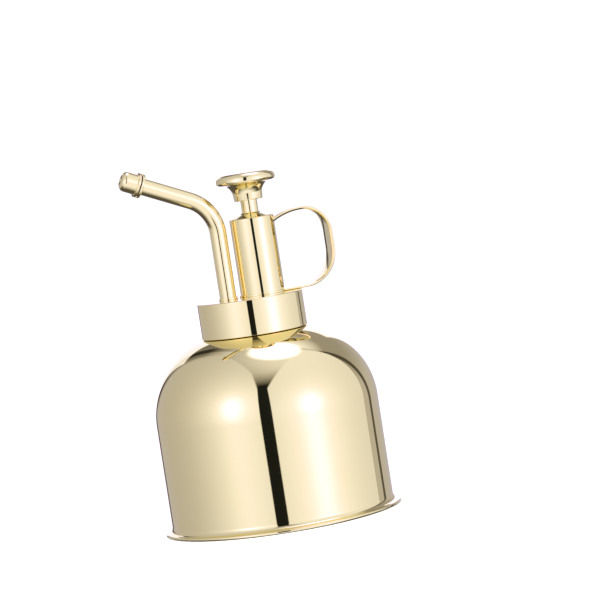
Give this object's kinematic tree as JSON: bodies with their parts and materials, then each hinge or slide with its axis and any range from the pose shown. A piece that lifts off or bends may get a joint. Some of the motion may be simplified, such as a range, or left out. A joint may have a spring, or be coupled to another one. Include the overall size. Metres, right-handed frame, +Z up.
{
  "type": "plant mister",
  "caption": "Hand-held plant mister: bell-shaped metal bottle, screw cap with a top pump and thumb button, bent spout with a spray nozzle, strap finger loop.",
  "frame": {"origin": "on the floor at the middle of the foot", "axes": "+Z up along the bottle's axis, the spout points to -X, the finger loop is towards +X"},
  "size_m": [0.085, 0.085, 0.1302],
  "materials": {
    "polished_gold": "mirror-polished champagne gold plating",
    "polished_gold_trim": "polished champagne gold plating on turned fittings",
    "black_plastic": "moulded black polypropylene",
    "clear_plastic": "moulded natural polyethylene",
    "seal_rubber": "black nitrile rubber",
    "bare_steel": "stainless steel, ball and spring finish",
    "base_gold": "satin champagne gold plating on the base"
  },
  "bodies": {
    "bottle": {"bottle_shell": "polished_gold", "base_plate": "base_gold", "neck_ring": "polished_gold_trim"},
    "cap_seal": {"cap_gasket": "seal_rubber"},
    "head": {"screw_cap": "polished_gold", "cap_liner": "black_plastic", "valve_block": "black_plastic", "inlet_cage": "clear_plastic", "outlet_cage": "clear_plastic", "dip_tube": "clear_plastic", "dip_strainer": "black_plastic", "barrel_sleeve": "polished_gold", "barrel_ring": "polished_gold_trim", "pump_cylinder": "clear_plastic", "rod_guide": "black_plastic", "rod_seal": "seal_rubber", "return_spring": "bare_steel", "spout_tube": "polished_gold", "spout_ring": "polished_gold_trim", "nozzle_collar": "polished_gold_trim", "finger_loop": "polished_gold"},
    "plunger": {"thumb_button": "polished_gold", "plunger_rod": "polished_gold_trim", "piston": "clear_plastic", "piston_seal": "seal_rubber", "piston_screw": "bare_steel"},
    "inlet_valve": {"inlet_ball": "bare_steel"},
    "outlet_valve": {"outlet_ball": "bare_steel"},
    "spray_seal": {"nozzle_seal": "seal_rubber"},
    "spray_head": {"nozzle_cap": "polished_gold_trim", "nozzle_swirl": "black_plastic"}
  },
  "joints": [
    {"name": "head_lift", "type": "slide", "parent": "bottle", "child": "cap_seal", "axis": [0, 0, 1], "range_m": [0, 0.006]},
    {"name": "head_unscrew", "type": "hinge", "parent": "cap_seal", "child": "head", "pos_m": [0, 0, 0.0735], "axis": [0, 0, 1], "range_deg": [0, 720.5]},
    {"name": "plunger_press", "type": "slide", "parent": "head", "child": "plunger", "axis": [0, 0, 1], "range_m": [-0.0042, 0.009], "stiffness_N_per_m": 250, "springref_m": 0.014, "deforming": ["return_spring"]},
    {"name": "inlet_ball_lift", "type": "slide", "parent": "head", "child": "inlet_valve", "axis": [0, 0, 1], "range_m": [0, 0.001]},
    {"name": "outlet_ball_lift", "type": "slide", "parent": "head", "child": "outlet_valve", "axis": [0, 0, 1], "range_m": [0, 0.001]},
    {"name": "nozzle_out", "type": "slide", "parent": "head", "child": "spray_seal", "axis": [-0.9078, 0, 0.4195], "range_m": [0, 0.001]},
    {"name": "nozzle_unscrew", "type": "hinge", "parent": "spray_seal", "child": "spray_head", "pos_m": [-0.03357, 0, 0.12475], "axis": [-0.9078, 0, 0.4195], "range_deg": [0, 720.5]}
  ],
  "couplings": [
    {"joint": "head_unscrew", "follows": "head_lift", "rad_per_m": 2094.4},
    {"joint": "nozzle_unscrew", "follows": "nozzle_out", "rad_per_m": 12566}
  ]
}
